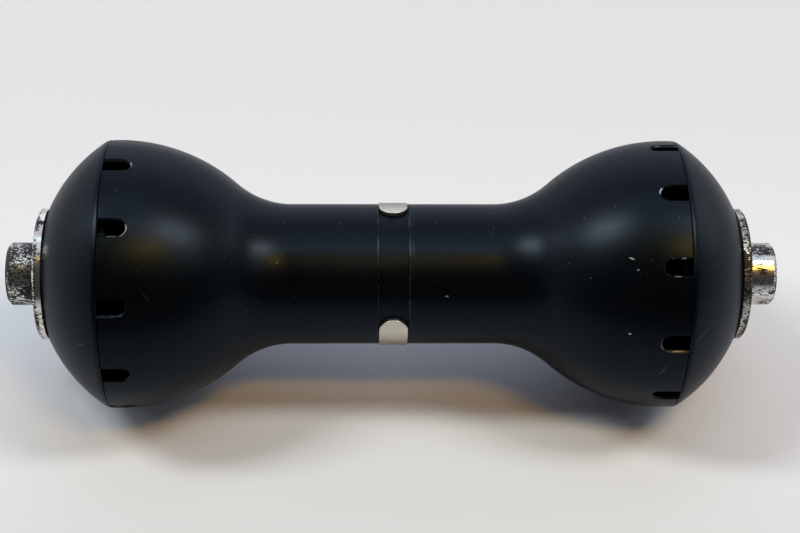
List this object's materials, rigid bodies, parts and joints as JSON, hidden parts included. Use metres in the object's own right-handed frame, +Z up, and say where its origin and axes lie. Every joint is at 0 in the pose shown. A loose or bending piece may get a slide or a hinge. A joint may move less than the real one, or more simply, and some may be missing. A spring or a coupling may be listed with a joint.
{
  "type": "bicycle front hub",
  "caption": "Bicycle front hub with bulb-ended black shell, spoke slots closed by domed end covers, greasable cup-and-cone bearings and a hollow quick-release axle.",
  "frame": {"origin": "on the hub axis, midway between the two faces that the fork clamps", "axes": "+Y along the hub axis from the left end to the right end, +Z up, +X towards the viewer"},
  "size_m": [0.0382, 0.1092, 0.0382],
  "materials": {
    "anodised_shell": "satin black anodised",
    "anodised_cover": "satin black anodised",
    "plated_axle": "bright plating over steel, pitted",
    "plated_locknut": "bright plating over steel, pitted",
    "spring_steel": "satin spring steel",
    "bearing_steel": "ground bearing steel",
    "ball_steel": "polished bearing balls",
    "retainer_plastic": "natural nylon",
    "seal_rubber": "matt rubber",
    "cap_sheet": "pressed sheet steel",
    "zinc_washer": "zinc plated"
  },
  "bodies": {
    "axle_set": {"axle": "plated_axle", "left_cone": "bearing_steel", "right_cone": "bearing_steel", "left_lock_washer": "zinc_washer", "right_lock_washer": "zinc_washer", "left_locknut": "plated_locknut", "right_locknut": "plated_locknut"},
    "rotating_shell": {"hub_shell": "anodised_shell", "left_end_cover": "anodised_cover", "right_end_cover": "anodised_cover", "left_bearing_cup": "bearing_steel", "right_bearing_cup": "bearing_steel", "left_lip_seal": "seal_rubber", "right_lip_seal": "seal_rubber", "left_dust_cap": "cap_sheet", "right_dust_cap": "cap_sheet"},
    "left_ball_set": {"left_balls": "ball_steel", "left_ball_retainer": "retainer_plastic"},
    "right_ball_set": {"right_balls": "ball_steel", "right_ball_retainer": "retainer_plastic"},
    "port_clip": {"grease_port_clip": "spring_steel"}
  },
  "joints": [
    {"name": "hub_spin", "type": "hinge", "parent": "axle_set", "child": "rotating_shell", "pos_m": [0, 0, 0], "axis": [0, 1, 0], "continuous": true},
    {"name": "left_balls_roll", "type": "hinge", "parent": "axle_set", "child": "left_ball_set", "pos_m": [0, -0.0375, 0], "axis": [0, 1, 0], "continuous": true},
    {"name": "right_balls_roll", "type": "hinge", "parent": "axle_set", "child": "right_ball_set", "pos_m": [0, 0.0375, 0], "axis": [0, 1, 0], "continuous": true},
    {"name": "clip_turn", "type": "hinge", "parent": "rotating_shell", "child": "port_clip", "pos_m": [0, 0, 0], "axis": [0, 1, 0], "continuous": true}
  ],
  "couplings": [
    {"joint": "left_balls_roll", "follows": "hub_spin", "ratio": 0.6002},
    {"joint": "right_balls_roll", "follows": "hub_spin", "ratio": 0.6002}
  ]
}
